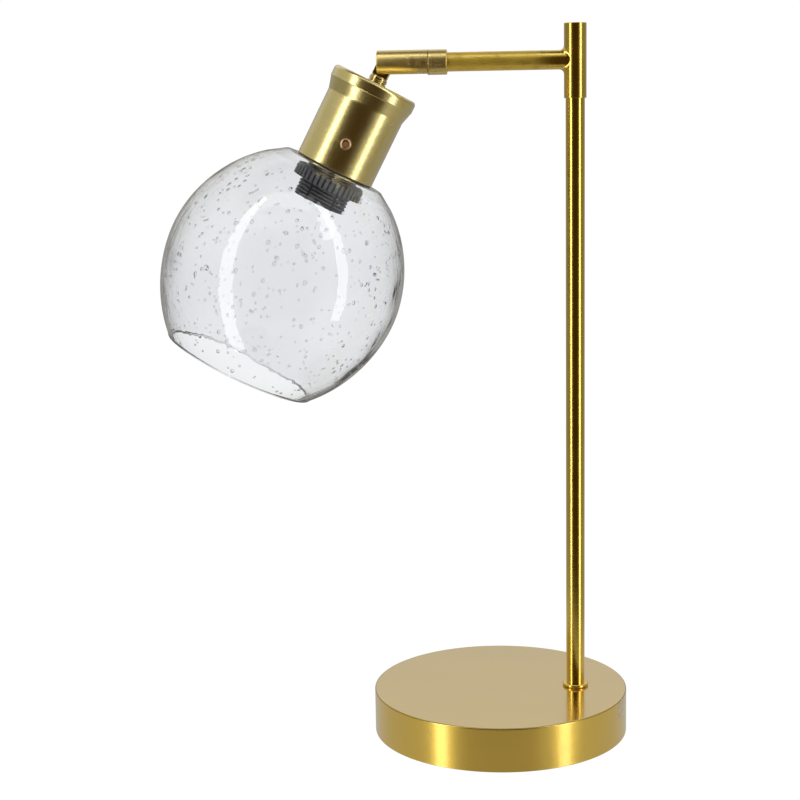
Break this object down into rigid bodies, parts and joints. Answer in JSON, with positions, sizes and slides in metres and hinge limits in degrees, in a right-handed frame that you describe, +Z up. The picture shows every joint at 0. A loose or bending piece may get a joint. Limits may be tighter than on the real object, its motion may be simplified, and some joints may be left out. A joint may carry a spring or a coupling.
{
  "type": "table lamp",
  "caption": "Table lamp with a round weighted base, an off-centre post, a swing arm with a swivel and tilt joint, and an open-mouthed clear glass globe under a metal cup.",
  "frame": {"origin": "centre of the round base's underside, on the table", "axes": "+Z up along the post; +X from the base's centre towards the post; the arm runs back from the post's top towards -X; -Y is the front, which the turn knob faces"},
  "size_m": [0.3586, 0.2012, 0.5516],
  "materials": {
    "satin_brass": "fine brushed satin",
    "polished_brass": "polished, lacquered, slightly aged",
    "copper": "polished, rose gold tone",
    "plain_brass": "turned",
    "steel": "zinc plated",
    "cast_iron": "as cast",
    "black_moulding": "black moulding with a slight gloss",
    "porcelain": "glazed",
    "clear_glass": "clear, with small seeds",
    "black_rubber": "matt",
    "clear_gasket": "translucent silicone",
    "nylon": "natural",
    "lead_sheath": "flexible sheath"
  },
  "bodies": {
    "stand": {"base_shell": "satin_brass", "ballast_weight": "cast_iron", "base_plate": "steel", "plate_screws": "steel", "base_pad": "black_rubber", "cord_grommet": "black_moulding", "post_tube": "polished_brass", "post_collar": "polished_brass", "post_stud": "steel", "post_foot_bush": "plain_brass", "post_washer": "steel", "post_nut": "steel", "post_head_bush": "plain_brass", "thrust_washer": "nylon", "base_lead": "lead_sheath"},
    "arm": {"arm_sleeve": "polished_brass", "sleeve_cap": "polished_brass", "sleeve_stop_screw": "steel", "arm_tube": "polished_brass", "arm_braze": "polished_brass", "rear_barrel": "satin_brass", "arm_lead": "lead_sheath"},
    "swivel": {"front_barrel": "satin_brass", "swivel_stud": "plain_brass", "swivel_washer": "steel", "swivel_nut": "steel", "pivot_rivets": "satin_brass", "tilt_washers": "nylon", "swivel_lead": "lead_sheath"},
    "head": {"head_tongue": "polished_brass", "stem_washer": "polished_brass", "stem_collar": "polished_brass", "cup_shell": "polished_brass", "cup_lock_washer": "steel", "cup_nut": "steel", "gallery_disc": "steel", "holder_cap": "black_moulding", "holder_skirt": "black_moulding", "terminal_block": "porcelain", "terminal_screws": "plain_brass", "switch_body": "black_moulding", "shell_insulator": "porcelain", "screw_shell": "plain_brass", "centre_contact": "plain_brass", "shade_ring": "black_moulding", "head_lead": "lead_sheath", "lead_cores": "lead_sheath", "glass_globe": "clear_glass", "globe_gasket": "clear_gasket", "ring_gasket": "clear_gasket"},
    "knob": {"turn_knob": "copper", "switch_spindle": "steel"}
  },
  "joints": [
    {"name": "arm_swing", "type": "hinge", "parent": "stand", "child": "arm", "pos_m": [0.0599, 0, 0.5246], "axis": [0, 0, 1], "range_deg": [-150, 150]},
    {"name": "barrel_swivel", "type": "hinge", "parent": "arm", "child": "swivel", "pos_m": [-0.0502, 0, 0.5246], "axis": [1, 0, 0], "range_deg": [-165, 165]},
    {"name": "head_tilt", "type": "hinge", "parent": "swivel", "child": "head", "pos_m": [-0.08374, -0.00013, 0.5216], "axis": [0, 0.999, -0.0436], "range_deg": [-35, 62.5]},
    {"name": "switch_turn", "type": "hinge", "parent": "head", "child": "knob", "pos_m": [-0.11061, -0.03342, 0.4653], "axis": [0.0713, -0.9974, 0.0069], "continuous": true}
  ]
}
